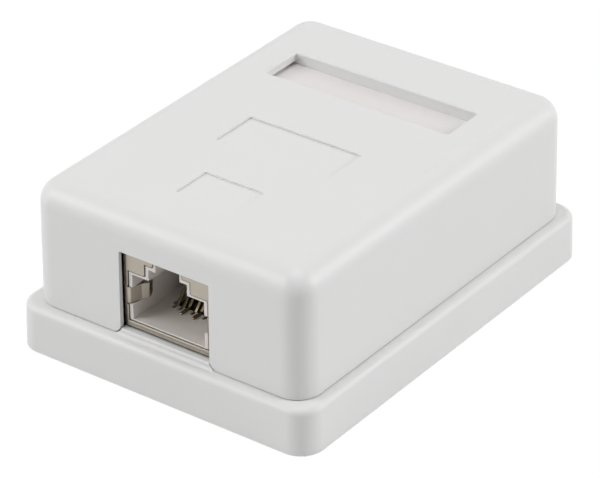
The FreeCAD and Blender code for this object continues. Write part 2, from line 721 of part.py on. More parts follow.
def make_contact_carrier():
    """Moulded comb that closes the housing behind the plug, holds the contacts apart and underlies them."""
    half = plug_width / 2 - carrier_inset - piece_gap
    front = jack_face + opening_depth + piece_gap
    back = front + carrier_depth
    bottom = board_top + piece_gap
    body = box(-half, half, front, back, bottom, plug_top - piece_gap)
    pit = contact_count * contact_pitch / 2 + pit_margin - piece_gap
    foot_front = jack_face + floor_reach + piece_gap
    body = body.fuse(box(-pit, pit, foot_front, back, bottom, board_top + carrier_foot))
    reach = contact_thickness / 2 + piece_gap
    rest = board_top + contact_rest
    for number, x in enumerate(contact_x, start=1):
        side = contact_width / 2 + piece_gap
        leg = leg_y(number)
        inside = leg - reach - contact_bend * 0.4
        body = body.cut(box(x - side, x + side, front - 0.1, leg + reach, rest - reach, plug_top + 1))
        body = body.cut(box(x - side, x + side, inside, leg + reach, board_top - 1, rest))
    return body.removeSplitter()


# ---- Board ----------------------------------------------------------------------------------------
def idc_places():
    """Centre of each contact plate: four at the left block, then four at the right one."""
    first = block_front + idc_end + idc_pitch / 2
    return [(sign * block_x, first + i * idc_pitch) for sign in (-1, 1) for i in range(idc_ways)]


def make_circuit_board():
    nose = board_nose / 2
    neck = board_neck / 2
    side = board_side
    nose_end = jack_face + nose_reach
    right = [(nose, board_front), (nose, nose_end), (neck, nose_end),
             (neck, board_step), (side, board_step), (side, board_back)]
    radii = [board_corner / 2] * 4 + [board_corner] * 2
    outline = right + [(-x, y) for x, y in reversed(right)]
    board = prism(outline, "xy", board_bottom, board_top, radii + radii[::-1])
    holes = []
    for number, x in enumerate(contact_x, start=1):
        holes.append((board_hole, x, leg_y(number)))
    holes += [(board_hole, x, y) for x, y in idc_places()]
    holes += [(screw_radius + screw_pass, x, y) for x, y in board_screw_places + clamp_screw_places]
    drills = [post(radius, x, y, board_bottom - 1, board_top + 1) for radius, x, y in holes]
    tab_x = jack_width / 2 - jack_sheet / 2
    half_x = jack_sheet / 2 + tab_hole_gap
    half_y = tab_width / 2 + tab_hole_gap
    for x in (-tab_x, tab_x):
        drills.append(prism(rectangle(half_x, half_y, x, tab_y), "xy", board_bottom - 1, board_top + 1))
    return board.cut(drills).removeSplitter()


def make_idc_block(sign):
    """Four-way block: crenellated ridge with a wire slot and a slanted contact pocket at each way."""
    x = sign * block_x
    half = idc_width / 2
    top = board_top + idc_height
    shoulder = top - idc_slot_depth
    lead = half * 0.45
    section = [(x - half, board_top), (x + half, board_top), (x + half, shoulder), (x + lead, top),
               (x - lead, top), (x - half, shoulder)]
    block = prism(section, "xz", block_front, block_back)
    cuts = []
    for at_x, y in [place for place in idc_places() if place[0] * sign > 0]:
        wire_slot = rectangle(half + 1, idc_slot / 2, at_x, y)
        cuts.append(prism(wire_slot, "xy", shoulder, top + 1))
        room = rectangle(idc_plate_width / 2 + piece_gap, idc_plate / 2 + piece_gap)
        pocket = prism(room, "xy", board_top + idc_end, top + 1)
        pocket.rotate(V(0, 0, 0), V(0, 0, 1), 45)
        pocket.translate(V(at_x, y, 0))
        cuts.append(pocket)
        cuts.append(post(board_hole, at_x, y, board_top - 1, board_top + idc_end + 1))
    return block.cut(cuts).removeSplitter()


def make_idc_contact(number):
    """Slit plate that cuts into the wire, with a pin down through the board."""
    x, y = idc_places()[number - 1]
    half = idc_plate_width / 2
    foot = board_top + idc_end + piece_gap
    top = board_top + idc_plate_rise
    nip = idc_nip / 2
    throat = top - idc_slot_depth * 0.75
    pin = idc_pin / 2
    tail = board_bottom - solder_tail
    right = [(pin, tail), (pin, foot), (half, foot), (half, top),
             (idc_lead, top), (nip, top - idc_lead), (nip, throat)]
    outline = right + [(-x, z) for x, z in reversed(right)]
    plate = prism(outline, "xz", -idc_plate / 2, idc_plate / 2)
    plate.rotate(V(0, 0, 0), V(0, 0, 1), 45)
    plate.translate(V(x, y, 0))
    return plate


# ---- Can, clamp and screws ------------------------------------------------------------------------
def make_shield_tray():
    """Folded tray under the board, raised in a dimple at each screw, with hooks for the lid."""
    side = tray_side - can_sheet / 2
    bottom = can_floor - can_sheet / 2
    bend = can_bend - can_sheet / 2
    front = can_front + can_sheet + can_gap
    back = can_back - can_sheet - can_gap
    path = [(-side, tray_top), (-side, bottom), (side, bottom), (side, tray_top)]
    tray = ribbon(path, [bend, bend], can_sheet, "xz", front, back)
    places = board_screw_places + clamp_screw_places
    top = screw_radius + screw_pass + can_sheet * 2
    foot = top + dimple_slope
    tray = tray.fuse([Part.makeCone(foot, top, board_lift + can_sheet, V(x, y, boss_top)) for x, y in places])
    for x, y in places:
        tray = tray.cut(Part.makeCone(foot - can_sheet, top - can_sheet, board_lift, V(x, y, boss_top)))
        tray = tray.cut(post(screw_radius + screw_pass / 2, x, y, boss_top - 1, board_top))
    hooks = []
    for y in hook_places:
        outline = [(side, hook_low), (tray_side + hook_stand, hook_low), (side, hook_low + hook_height)]
        hooks += both_sides(prism(outline, "xz", y - hook_length / 2, y + hook_length / 2))
    return tray.fuse(hooks).removeSplitter()


def make_shield_lid():
    """Folded lid over the blocks, open round the cable and reaching forward over the jack."""
    outer = box(-lid_side, lid_side, can_front, can_back, lid_foot, lid_top)
    outer = outer.makeFillet(can_bend, edges_at(outer, lid_top))
    inner = box(-lid_side + can_sheet, lid_side - can_sheet, can_front + can_sheet, can_back - can_sheet,
                lid_foot - 1, lid_inside)
    lid = outer.cut(inner)
    notch = clamp_axis + entry_radius
    outline = [(-entry_radius, lid_foot - 1), (entry_radius, lid_foot - 1),
               (entry_radius, notch), (-entry_radius, notch)]
    lid = lid.cut(prism(outline, "xz", can_back - 1, can_back + 1, [0, 0, entry_radius, entry_radius]))
    low = hook_low - piece_gap * 2
    high = hook_low + hook_height + piece_gap * 2
    half = hook_length / 2 + piece_gap * 4
    for y in hook_places:
        for piece in both_sides(box(tray_side, lid_side + 1, y - half, y + half, low, high)):
            lid = lid.cut(piece)
    # Split corners, as a folded sheet has.
    relief = can_sheet * 0.75
    for sx in (-1, 1):
        for y in (can_front, can_back):
            lid = lid.cut(box(sx * lid_side - relief, sx * lid_side + relief, y - relief, y + relief,
                              lid_foot - 1, lid_top - can_bend))
    tongue_x = jack_width / 2 - tongue_inset
    tongue = box(-tongue_x, tongue_x, can_front - can_tongue - jack_can_gap, can_front + can_bend,
                 lid_inside, lid_top)
    return lid.fuse(tongue).removeSplitter()


def make_cable_clamp():
    """Strap over the cable, screwed down through its two feet."""
    foot_end = clamp_screw_x + screw_head_radius + clamp_rim
    base = board_top + clamp_sheet / 2
    top = clamp_axis + clamp_leg
    right = [(clamp_leg, top), (clamp_leg, base), (foot_end, base)]
    path = [(-x, z) for x, z in reversed(right)] + right
    bends = [clamp_bend, clamp_leg, clamp_leg, clamp_bend]
    strap = ribbon(path, bends, clamp_sheet, "xz", clamp_y - clamp_width / 2, clamp_y + clamp_width / 2)
    for x, y in clamp_screw_places:
        strap = strap.cut(post(screw_radius + screw_pass, x, y, board_top - 1, board_top + clamp_sheet + 1))
    return strap.removeSplitter()


def screw(x, y, seat, tip):
    """Pan-head screw, without its thread and drive."""
    crown = screw_head_height * 0.4
    rim = seat + screw_head_height - crown
    head = post(screw_head_radius, x, y, seat, rim)
    dome = Part.makeCone(screw_head_radius, screw_head_radius - crown, crown, V(x, y, rim))
    return head.fuse([dome, post(screw_radius, x, y, tip, seat)]).removeSplitter()


def make_board_screws():
    tip = screw_floor + screw_short
    return Part.makeCompound([screw(x, y, board_top, tip) for x, y in board_screw_places])


def make_clamp_screws():
    tip = board_top - clamp_screw_length
    return Part.makeCompound([screw(x, y, board_top + clamp_sheet, tip) for x, y in clamp_screw_places])


# ---- Output ---------------------------------------------------------------------------------------
def make_pieces():
    pieces = {
        "base": make_base(),
        "cover": make_cover(),
        "label_card": make_label_card(),
        "jack_shield": make_jack_shield(),
        "jack_housing": make_jack_housing(),
        "contact_carrier": make_contact_carrier(),
        "circuit_board": make_circuit_board(),
        "idc_block_left": make_idc_block(-1),
        "idc_block_right": make_idc_block(1),
        "shield_tray": make_shield_tray(),
        "shield_lid": make_shield_lid(),
        "cable_clamp": make_cable_clamp(),
        "board_screws": make_board_screws(),
        "clamp_screws": make_clamp_screws(),
    }
    for number in range(1, contact_count + 1):
        pieces["contact_%d" % number] = make_contact(number)
    for number in range(1, 2 * idc_ways + 1):
        pieces["idc_contact_%d" % number] = make_idc_contact(number)
    return pieces


os.makedirs("parts", exist_ok=True)
for name, piece in make_pieces().items():
    piece.exportStep("parts/%s.step" % name)
    print("%-16s %d solid(s), valid %s, %.1f mm3" % (name, len(piece.Solids), piece.isValid(), piece.Volume))
print("base %.2f x %.2f, cover top %.2f" % (2 * base_x, 2 * base_y, cover_top))
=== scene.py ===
"""Surface mount jack box: finishes, fine edges and small details around its solid model.

Every length is in metres, in the frame of the solid model: +Z up from the wall, -Y towards the plug.
The solids stay where they are. A piece that is dressed here is a copy of its solid with the edges that
the mould or the press leaves, or a new mesh in the same place with detail that the solid lacks.
"""
import math

import bmesh
import bpy
from mathutils import Euler, Matrix, Vector


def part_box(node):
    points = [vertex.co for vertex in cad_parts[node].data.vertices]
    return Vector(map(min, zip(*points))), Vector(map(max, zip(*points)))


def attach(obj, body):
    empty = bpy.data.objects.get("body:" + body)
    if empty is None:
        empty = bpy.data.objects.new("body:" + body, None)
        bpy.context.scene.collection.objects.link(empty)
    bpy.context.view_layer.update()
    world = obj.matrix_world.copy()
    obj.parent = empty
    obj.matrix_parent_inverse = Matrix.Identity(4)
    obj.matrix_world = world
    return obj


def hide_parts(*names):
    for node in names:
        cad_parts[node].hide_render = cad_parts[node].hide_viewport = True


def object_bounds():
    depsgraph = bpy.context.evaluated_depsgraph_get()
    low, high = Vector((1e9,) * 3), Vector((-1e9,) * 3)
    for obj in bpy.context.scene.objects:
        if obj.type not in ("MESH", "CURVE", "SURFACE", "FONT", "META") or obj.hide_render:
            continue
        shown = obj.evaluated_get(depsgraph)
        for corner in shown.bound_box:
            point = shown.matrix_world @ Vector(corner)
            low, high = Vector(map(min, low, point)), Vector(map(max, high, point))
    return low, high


bl_info = {
    "name": "Surface Mount Jack Box",
    "version": (1, 0, 0),
    "blender": (4, 5, 0),
    "location": "View3D > Sidebar > Jack Box",
    "description": "Dresses the solid model of a one-port surface mount jack box",
    "category": "Object",
}

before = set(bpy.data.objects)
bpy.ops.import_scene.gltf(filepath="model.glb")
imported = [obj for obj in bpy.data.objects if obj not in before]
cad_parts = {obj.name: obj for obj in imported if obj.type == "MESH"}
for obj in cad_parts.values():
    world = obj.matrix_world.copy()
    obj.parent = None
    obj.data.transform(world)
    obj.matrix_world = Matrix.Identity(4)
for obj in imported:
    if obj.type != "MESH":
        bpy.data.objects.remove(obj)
cad_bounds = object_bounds()

MM = 0.001
ON_FACE = 0.05 * MM             # a point this close to a face counts as on it
SHARP = math.radians(32)        # edges sharper than this get a radius
BOX_BODY = "box"
COVER_BODY = "cover"
WHITE = (1.0, 1.0, 1.0, 1.0)


# ---- Shader expressions ---------------------------------------------------------------------------
class Wire:
    """Output of a shader node. Arithmetic on it adds Math nodes to its tree."""

    def __init__(self, nodes, output):
        self.nodes = nodes
        self.output = output

    def math(self, operation, *values):
        return self.nodes.node("ShaderNodeMath", {"operation": operation}, dict(enumerate(values)))

    def __add__(self, other):
        return self.math("ADD", self, other)

    __radd__ = __add__

    def __mul__(self, other):
        return self.math("MULTIPLY", self, other)

    __rmul__ = __mul__

    def __sub__(self, other):
        return self.math("SUBTRACT", self, other)

    def __rsub__(self, other):
        return self.math("SUBTRACT", other, self)

    def __gt__(self, other):
        return self.math("GREATER_THAN", self, other)

    def __lt__(self, other):
        return self.math("LESS_THAN", self, other)

    def __or__(self, other):
        """Either of two masks."""
        return self.math("MAXIMUM", self, other)

    __ror__ = __or__

    def __abs__(self):
        return self.math("ABSOLUTE", self)


class Nodes:
    """A node tree that is written as expressions."""

    def __init__(self, tree):
        self.tree = tree

    def feed(self, socket, value):
        if isinstance(value, Wire):
            self.tree.links.new(value.output, socket)
        else:
            socket.default_value = value

    def node(self, kind, settings=None, inputs=None, output=0):
        """Any node: its settings first, then values or links for its sockets."""
        made = self.tree.nodes.new(kind)
        for name, value in (settings or {}).items():
            setattr(made, name, value)
        for name, value in (inputs or {}).items():
            self.feed(made.inputs[name], value)
        return Wire(self, made.outputs[output])

    def seen(self):
        """1 for rays that show the surface, plainly, in a reflection or through glass, and 0 for the rest."""
        plain = self.node("ShaderNodeLightPath", output="Is Camera Ray")
        reflected = self.node("ShaderNodeLightPath", output="Is Glossy Ray")
        through = self.node("ShaderNodeLightPath", output="Is Transmission Ray")
        return plain | reflected | through


class Finish(Nodes):
    """A material: one Principled shader and the expressions that feed it."""

    def __init__(self, name, color, constants=None):
        self.material = bpy.data.materials.new(name)
        self.material.use_nodes = True
        super().__init__(self.material.node_tree)
        self.shader = self.tree.nodes["Principled BSDF"]
        self.color = (*color, 1.0)
        self.set("Base Color", self.color)
        for socket, value in (constants or {}).items():
            self.set(socket, value)
        self.place = self.node("ShaderNodeTexCoord", output="Object")

    def set(self, socket, value):
        self.feed(self.shader.inputs[socket], value)

    def along(self, axis):
        """Coordinate along axis 0, 1 or 2."""
        return self.node("ShaderNodeSeparateXYZ", {}, {"Vector": self.place}, output=axis)

    def noise(self, size, detail=2.0, stretch=(1.0, 1.0, 1.0)):
        """Noise whose features are about size metres wide, stretched along the axes."""
        scale = tuple(1.0 / (size * s) for s in stretch)
        place = self.node("ShaderNodeMapping", {}, {"Vector": self.place, "Scale": scale})
        return self.node("ShaderNodeTexNoise", {}, {"Vector": place, "Scale": 1.0, "Detail": detail})

    def tint(self, first, second, factor):
        """Colour between two colours. The sockets of a Mix node share their names, so they go by number."""
        values = {0: factor, 6: first, 7: second}
        return self.node("ShaderNodeMix", {"data_type": "RGBA"}, values, output=2)

    def shade(self, share):
        """The finish's own colour, darker or lighter by a share."""
        return (*(min(c * share, 1.0) for c in self.color[:3]), 1.0)

    def bump(self, height, depth):
        values = {"Height": height, "Distance": depth, "Strength": 1.0}
        self.set("Normal", self.node("ShaderNodeBump", {}, values))


# ---- Mesh helpers ---------------------------------------------------------------------------------
def add_piece(node, name, mesh, finish, body):
    """Links a mesh as the piece that stands in for a solid, on its body and with its finish."""
    mesh.materials.clear()
    mesh.materials.append(finish.material)
    piece = bpy.data.objects.new(name, mesh)
    bpy.context.scene.collection.objects.link(piece)
    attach(piece, body)
    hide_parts(node)
    return piece


def welded(node):
    """Copy of a solid's mesh with one face for each flat face of the solid."""
    bm = bmesh.new()
    bm.from_mesh(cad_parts[node].data)
    bmesh.ops.remove_doubles(bm, verts=bm.verts, dist=0.001 * MM)
    bmesh.ops.dissolve_limit(bm, angle_limit=math.radians(0.5), verts=bm.verts, edges=bm.edges)
    return bm


def dress(node, name, finish, radius, body=BOX_BODY, steps=2, share=None, reshape=None):
    """A solid's stand-in: its sharp edges get a fine radius, and it gets a finish.

    share is an optional function of a point. It gives the part of the radius that an edge there has.
    reshape is an optional function of a vertex. It moves the vertex before the edges are rounded.
    """
    bm = welded(node)
    if reshape:
        for vertex in bm.verts:
            reshape(vertex)
    weights = bm.edges.layers.float.new("bevel_weight_edge")
    for edge in bm.edges:
        if edge.calc_face_angle(0.0) > SHARP:
            middle = (edge.verts[0].co + edge.verts[1].co) / 2
            edge[weights] = share(middle) if share else 1.0
    mesh = bpy.data.meshes.new(name)
    bm.to_mesh(mesh)
    bm.free()
    mesh.shade_smooth()
    piece = add_piece(node, name, mesh, finish, body)
    edges = piece.modifiers.new("Fine edges", "BEVEL")
    edges.limit_method = "WEIGHT"
    edges.width = radius
    edges.segments = steps
    edges.use_clamp_overlap = False
    flat = piece.modifiers.new("Flat faces stay flat", "WEIGHTED_NORMAL")
    flat.weight = 90


def islands(bm):
    """Groups of joined vertices, in the order of the mesh."""
    grouped = set()
    groups = []
    for start in bm.verts:
        if start in grouped:
            continue
        grouped.add(start)
        group = [start]
        for vertex in group:
            joined = [edge.other_vert(vertex) for edge in vertex.link_edges]
            fresh = [other for other in joined if other not in grouped]
            grouped.update(fresh)
            group += fresh
        groups.append(group)
    return groups


# ---- Screws ---------------------------------------------------------------------------------------
THREAD_STEPS = 8                # rings for each turn of the thread
DOME_STEPS = 4                  # rings from the head's rim to its crown
POINT_SHARE = 0.5               # the tip's radius, as a share of the shank's
POINT_TURNS = 0.75              # turns of thread over which the tip widens to the shank
CROSS_TAPER = 0.5               # the cross recess at its floor, as a share of its size at the crown


def add_ring(bm, middle, z, radius, facets):
    """Ring of vertices. radius is one value or a function of the share of a turn."""
    ring = []
    for i in range(facets):
        reach = radius(i / facets) if callable(radius) else radius
        bearing = 2 * math.pi * i / facets
        at = (middle.x + reach * math.cos(bearing), middle.y + reach * math.sin(bearing), z)
        ring.append(bm.verts.new(at))
    return ring


def add_thread(bm, middle, tip, seat, shank, screws):
    """Rings of the shank, with a rolled thread and a tapered tip."""
    run = seat - tip - screws.pitch / 2
    count = round(run / screws.pitch * THREAD_STEPS)
    rings = []
    for step in range(count + 1):
        turns = run * step / count / screws.pitch
        taper = min(1.0, POINT_SHARE + (1 - POINT_SHARE) * turns / POINT_TURNS)

        def radius(share):
            root = abs(2 * (turns - share) % 2 - 1)
            return taper * (shank - screws.thread_depth * root)

        rings.append(add_ring(bm, middle, tip + turns * screws.pitch, radius, screws.facets))
    return rings


def add_cross_recess(bm, middle, crown, rim, screws):
    """Tapered cross recess in the flat crown that the ring of vertices bounds."""
    narrow = screws.recess_width / 2
    long = screws.recess_length / 2
    arm = [(long, -narrow), (long, narrow), (narrow, narrow)]
    cross = [Matrix.Rotation(turn * math.pi / 2, 2) @ Vector(at) for turn in range(4) for at in arm]

    def outline(share, z):
        return [bm.verts.new((middle.x + at.x * share, middle.y + at.y * share, z)) for at in cross]

    upper = outline(1.0, crown)
    lower = outline(CROSS_TAPER, crown - screws.recess_depth)
    for i in range(len(cross)):
        j = (i + 1) % len(cross)
        bm.faces.new((upper[i], upper[j], lower[j], lower[i]))
    bm.faces.new(lower)
    brim = [bm.edges.get((loop[i - 1], loop[i])) for loop in (rim, upper) for i in range(len(loop))]
    bmesh.ops.triangle_fill(bm, use_beauty=True, edges=brim)


def add_screw(bm, middle, levels, screws):
    """Pan-head screw with a rolled thread and a cross recess.

    levels are the solid's heights with its radius there: tip, seat of the head, rim and crown.
    """
    (tip, shank), (seat, head), (rim, _), (crown, flat) = levels
    rings = add_thread(bm, middle, tip, seat, shank, screws)
    for z, radius in ((seat, shank), (seat, head), (rim, head)):
        rings.append(add_ring(bm, middle, z, radius, screws.facets))
    for step in range(1, DOME_STEPS + 1):
        rise = step / DOME_STEPS * math.pi / 2
        z = rim + (crown - rim) * math.sin(rise)
        radius = flat + (head - flat) * math.cos(rise)
        rings.append(add_ring(bm, middle, z, radius, screws.facets))
    for low, high in zip(rings, rings[1:]):
        for i in range(screws.facets):
            j = (i + 1) % screws.facets
            bm.faces.new((low[i], low[j], high[j], high[i]))
    bm.faces.new(rings[0][::-1])
    add_cross_recess(bm, middle, crown, rings[-1], screws)


# ---- Finishes -------------------------------------------------------------------------------------
def case_plastic(case):
    """White moulded plastic with the fine spark-eroded texture of the mould."""
    finish = Finish("case_plastic", case.color, {"IOR": 1.5})
    grain = finish.noise(case.grain_size, detail=3.0)
    cloud = finish.noise(60 * case.grain_size)
    finish.set("Base Color", finish.tint(finish.color, finish.shade(0.985), cloud))
    finish.set("Roughness", case.roughness + 0.08 * (grain - 0.5) + 0.06 * (cloud - 0.5))
    finish.bump(grain, case.grain_depth)
    return finish


def label_paper(case):
    """Uncoated card: short fibres and a slightly uneven tone."""
    finish = Finish("label_paper", case.card_color, {"Roughness": 0.85})
    fibre = finish.noise(0.12 * MM, detail=4.0, stretch=(3.5, 1.0, 1.0))
    cloud = finish.noise(2.5 * MM, detail=3.0)
    finish.set("Base Color", finish.tint(finish.color, finish.shade(0.96), fibre * 0.6 + cloud * 0.4))
    finish.bump(fibre, 0.01 * MM)
    return finish


def rolled_metal(name, color, roughness, grain=0.05 * MM, stretch=(14.0, 1.0, 14.0)):
    """Plated sheet with rolling marks along the strip. The finish keeps its colour as hue."""
    finish = Finish(name, color, {"Metallic": 1.0})
    marks = finish.noise(grain, detail=3.0, stretch=stretch)
    cloud = finish.noise(2.2 * MM, detail=3.0)
    finish.hue = finish.tint(finish.shade(0.9), finish.shade(1.06), cloud)
    finish.set("Base Color", finish.hue)
    finish.set("Roughness", roughness + 0.14 * (marks - 0.5) + 0.1 * (cloud - 0.5))
    finish.bump(marks, 0.003 * MM)
    return finish


def nickel_plate(jack, foot):
    """Plated sheet of the jack's shield: darker towards its foot, with a painted shade band along the foot
    where the gap above the sill lies in shade.
    """
    finish = rolled_metal("nickel_plate", jack.nickel_color, jack.nickel_roughness)
    height = finish.along(2)
    # The shield's colour gets darker from its foot upwards over this reach.
    span = {"From Min": foot, "From Max": foot + jack.foot_darkening_reach, "To Min": 1.0, "To Max": 0.0}
    foot_darkening = finish.node("ShaderNodeMapRange", {}, {"Value": height, **span})
    darkened_hue = finish.tint(finish.hue, finish.shade(0.8), foot_darkening)
    # Painted shade: a near-black band along the shield's foot, where the gap between the shield and the sill
    # lies in shade.
    finish.set("Base Color", finish.tint(darkened_hue, finish.shade(0.12), height < foot + jack.painted_shade_band))
    return finish


def moulded_plastic(name, color, roughness):
    """Engineering plastic of the small mouldings."""
    finish = Finish(name, color, {"IOR": 1.52})
    cells = finish.noise(0.1 * MM)
    cloud = finish.noise(1.8 * MM)
    finish.set("Base Color", finish.tint(finish.shade(0.95), finish.shade(1.02), cloud))
    finish.set("Roughness", roughness + 0.1 * (cells - 0.5))
    finish.bump(cells, 0.004 * MM)
    return finish


def gold_plate(jack):
    """Thin gold over the drawn wire of the spring contacts."""
    finish = Finish("gold_plate", jack.gold_color, {"Metallic": 1.0})
    cloud = finish.noise(0.4 * MM)
    finish.set("Base Color", finish.tint(finish.shade(0.85), finish.shade(1.05), cloud))
    finish.set("Roughness", 0.2 + 0.12 * cloud)
    return finish


def solder_resist(board):
    """Green resist over copper and glass fibre, whose weave shows faintly through."""
    finish = Finish("solder_resist", board.resist_color, {"Roughness": 0.3, "Coat Weight": 0.4})
    weft = finish.noise(0.3 * MM, detail=1.0, stretch=(3.0, 1.0, 1.0))
    warp = finish.noise(0.3 * MM, detail=1.0, stretch=(1.0, 3.0, 1.0))
    cloud = finish.noise(4 * MM)
    mottle = weft * 0.3 + warp * 0.3 + cloud * 0.4
    finish.set("Base Color", finish.tint(finish.shade(0.8), finish.shade(1.2), mottle))
    finish.bump(weft + warp, 0.004 * MM)
    return finish


# ---- Settings -------------------------------------------------------------------------------------
def length(name, description, default):
    return bpy.props.FloatProperty(
        name=name, description=description, default=default, min=0.0, precision=5, unit="LENGTH"
    )


def factor(name, description, default):
    return bpy.props.FloatProperty(
        name=name, description=description, default=default, min=0.0, max=1.0, subtype="FACTOR"
    )


def ratio(name, description, default):
    return bpy.props.FloatProperty(name=name, description=description, default=default, min=0.0)


def color(name, description, default):
    return bpy.props.FloatVectorProperty(
        name=name, description=description, default=default, size=3, min=0.0, max=1.0, subtype="COLOR"
    )


def angle(name, description, degrees):
    return bpy.props.FloatProperty(
        name=name, description=description, default=math.radians(degrees), subtype="ANGLE"
    )


def watts(name, description, default):
    return bpy.props.FloatProperty(
        name=name, description=description, default=default, min=0.0, unit="POWER"
    )


def settings_group(kind, name, description):
    return bpy.props.PointerProperty(type=kind, name=name, description=description)


class CaseSettings(bpy.types.PropertyGroup):
    color: color("Colour", "Colour of the white case", (0.80, 0.80, 0.795))
    roughness: factor("Roughness", "Roughness of the moulded surface", 0.42)
    grain_size: length("Grain size", "Width of one grain of the mould's texture", 0.16 * MM)
    grain_depth: length("Grain depth", "Depth of the mould's texture", 0.006 * MM)
    base_edge: length("Base edge", "Rounding of the base's edges", 0.08 * MM)
    cover_edge: length("Cover edge", "Rounding of the cover's edges, which the shares below scale", 0.16 * MM)
    top_share: ratio("Top share", "Share of the cover edge round the openings of the top", 0.5)
    window_share: ratio("Window share", "Share of the cover edge round the jack window", 0.5)
    inner_share: ratio("Inner share", "Share of the cover edge inside the cover", 0.4)
    recess_sink: length("Recess sink", "How much deeper the two top recesses get", 0.1 * MM)
    card_color: color("Card colour", "Colour of the label card", (0.80, 0.775, 0.765))
    card_edge: length("Card edge", "Rounding of the card's cut edges", 0.03 * MM)


class JackSettings(bpy.types.PropertyGroup):
    nickel_color: color("Nickel colour", "Colour of the plated shield", (0.44, 0.40, 0.34))
    nickel_roughness: factor("Nickel roughness", "Roughness of the plated shield", 0.36)
    # The shield's colour gets darker towards its foot over this reach.
    foot_darkening_reach: length("Dull reach", "How far up from its foot the shield is duller", 3.0 * MM)
    # Painted shade: height of the near-black band along the shield's foot, for the shaded gap above the sill.
    painted_shade_band: length("Bare band", "Height of the bare cut edge along the shield's foot", 0.16 * MM)
    sheet_edge: length("Sheet edge", "Rounding of the shield's cut edges", 0.05 * MM)
    seam_share: ratio("Seam share", "Share of the sheet edge along the seam", 0.4)
    sill_share: ratio("Sill share", "Share of the sheet edge along the opening's sill", 1.3)
    foot_share: ratio("Foot share", "Share of the sheet edge along the foot of the front", 2.4)
    plastic_color: color("Insert colour", "Colour of the jack's plastic insert", (0.76, 0.715, 0.68))
    plastic_edge: length("Insert edge", "Rounding of the insert's edges", 0.05 * MM)
    carrier_color: color("Carrier colour", "Colour of the comb that holds the contacts", (0.03, 0.03, 0.032))
    carrier_edge: length("Carrier edge", "Rounding of the comb's edges", 0.025 * MM)
    gold_color: color("Gold colour", "Colour of the plated contacts", (0.30, 0.25, 0.14))
    contact_swell: factor("Contact swell", "How much wider the flattened springs are than the wire", 0.16)
    contact_edge: length("Contact edge", "Rounding of the contacts, which the shares below scale", 0.08 * MM)
    tip_share: ratio("Tip share", "Share of the contact edge at a contact's free end", 1.6)
    wire_share: ratio("Wire share", "Share of the contact edge along a contact", 0.6)


class BoardSettings(bpy.types.PropertyGroup):
    resist_color: color("Resist colour", "Colour of the solder resist", (0.02, 0.16, 0.06))
    edge: length("Edge radius", "Rounding of the board's routed edge", 0.06 * MM)
    block_color: color("Block colour", "Colour of the wire blocks", (0.035, 0.036, 0.04))
    block_edge: length("Block edge", "Rounding of the blocks' edges", 0.12 * MM)
    tin_color: color("Tin colour", "Colour of the tinned contact plates", (0.66, 0.65, 0.62))
    plate_edge: length("Plate edge", "Rounding of the contact plates' edges", 0.05 * MM)


class CanSettings(bpy.types.PropertyGroup):
    tin_color: color("Tin colour", "Colour of the tinned sheet", (0.60, 0.60, 0.58))
    sheet_edge: length("Sheet edge", "Rounding of the can's cut edges", 0.06 * MM)


class ScrewSettings(bpy.types.PropertyGroup):
    zinc_color: color("Zinc colour", "Colour of the screws", (0.60, 0.61, 0.63))
    facets: bpy.props.IntProperty(name="Facets", description="Facets round each screw", default=32, min=8)
    pitch: length("Pitch", "Pitch of the thread", 0.8 * MM)
    thread_depth: length("Thread depth", "From the thread's crest to its root", 0.3 * MM)
    recess_width: length("Recess width", "Width of one arm of the cross recess", 0.55 * MM)
    recess_length: length("Recess length", "Cross recess from end to end of its arms", 2.1 * MM)
    recess_depth: length("Recess depth", "Depth of the cross recess", 0.85 * MM)


class StageSettings(bpy.types.PropertyGroup):
    azimuth: angle("Azimuth", "Camera's place round the box, from the plug side towards +X", 36.63)
    elevation: angle("Elevation", "Camera's height above the horizon", 30.58)
    roll: angle("Roll", "Camera's turn about its line of sight", -0.46)
    distance: length("Distance", "Camera to the point that it looks at", 0.4788)
    aim: bpy.props.FloatVectorProperty(
        name="Aim", description="Point that the camera looks at", default=(0.00163, -0.00324, 0.01135),
        size=3, precision=5, subtype="TRANSLATION", unit="LENGTH",
    )
    lens: bpy.props.FloatProperty(
        name="Focal length", description="Focal length on a 36 mm sensor, in millimetres", default=211.06,
        unit="CAMERA",
    )
    floor_size: length("Floor size", "Side of the square floor", 3.0)
    floor_glow: ratio("Floor glow", "Strength of the white that the camera sees on the floor", 1.02)
    shadow_share: factor("Shadow share", "How much of the shaded floor the camera sees", 0.02)
    world_strength: factor("World strength", "Light from all round", 0.18)
    top_power: watts("Top light", "Power of the large soft light overhead", 5.7)
    left_power: watts("Left light", "Power of the soft light beside the plug face", 3.5)
    right_power: watts("Right light", "Power of the soft light behind the +X side", 3.75)


class JackBoxSettings(bpy.types.PropertyGroup):
    case: settings_group(CaseSettings, "Case", "Base, cover and label card")
    jack: settings_group(JackSettings, "Jack", "Shield, insert, carrier and spring contacts")
    board: settings_group(BoardSettings, "Board", "Circuit board, wire blocks and contact plates")
    can: settings_group(CanSettings, "Can", "Folded shield can and cable clamp")
    screws: settings_group(ScrewSettings, "Screws", "Screws of the board and of the clamp")
    stage: settings_group(StageSettings, "Stage", "Camera, light and floor")


